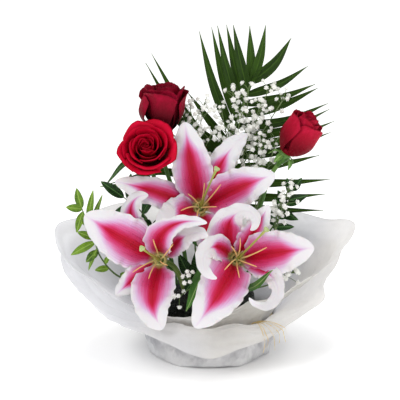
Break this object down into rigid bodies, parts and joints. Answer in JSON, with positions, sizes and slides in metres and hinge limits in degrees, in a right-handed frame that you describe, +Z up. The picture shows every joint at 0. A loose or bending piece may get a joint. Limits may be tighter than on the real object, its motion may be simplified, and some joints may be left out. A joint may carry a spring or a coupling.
{
  "type": "mixed flower bouquet",
  "caption": "Hand-tied style arrangement of pink lilies, red roses, a palm frond and gypsophila in wet foam in a round bowl, wrapped in gathered white sheets tied with raffia.",
  "frame": {"origin": "centre of the bouquet's round base, on the surface that it stands on", "axes": "+Z up, -Y to the front that the lilies face, +X to the viewer's right"},
  "size_m": [0.3657, 0.2505, 0.3901],
  "materials": {
    "wrap_fabric": "translucent white non-woven sheet, matte",
    "raffia": "dry straw-coloured raffia, satin",
    "bowl_plastic": "black moulded plastic",
    "floral_foam": "wet dark green foam, matte",
    "lily_petal": "white edges, pink to crimson midline, satin",
    "lily_stem": "fresh green, satin",
    "rose_petal": "deep red velvet",
    "rose_stem": "fresh green, satin",
    "palm_leaf": "dark green, satin",
    "green_leaf": "mid green, satin",
    "dark_leaf": "very dark green, glossy",
    "gypsophila": "white florets on thin green twigs, matte"
  },
  "bodies": {
    "root": {"wrap_outer_sheet": "wrap_fabric", "wrap_inner_sheet": "wrap_fabric", "raffia_tie": "raffia", "floral_bowl": "bowl_plastic", "foam_block": "floral_foam", "lily_top_petals": "lily_petal", "lily_left_petals": "lily_petal", "lily_right_petals": "lily_petal", "lily_top_stem": "lily_stem", "lily_left_stem": "lily_stem", "lily_right_stem": "lily_stem", "rose_back_petals": "rose_petal", "rose_front_petals": "rose_petal", "rose_right_petals": "rose_petal", "rose_back_stem": "rose_stem", "rose_front_stem": "rose_stem", "rose_right_stem": "rose_stem", "palm_frond": "palm_leaf", "leafy_sprig_left": "green_leaf", "leafy_sprig_right": "green_leaf", "leafy_stem_inner": "dark_leaf", "leafy_stem_low": "dark_leaf", "gypsophila_1": "gypsophila", "gypsophila_2": "gypsophila", "gypsophila_3": "gypsophila", "gypsophila_4": "gypsophila", "gypsophila_5": "gypsophila", "gypsophila_6": "gypsophila", "gypsophila_7": "gypsophila"}
  },
  "joints": []
}
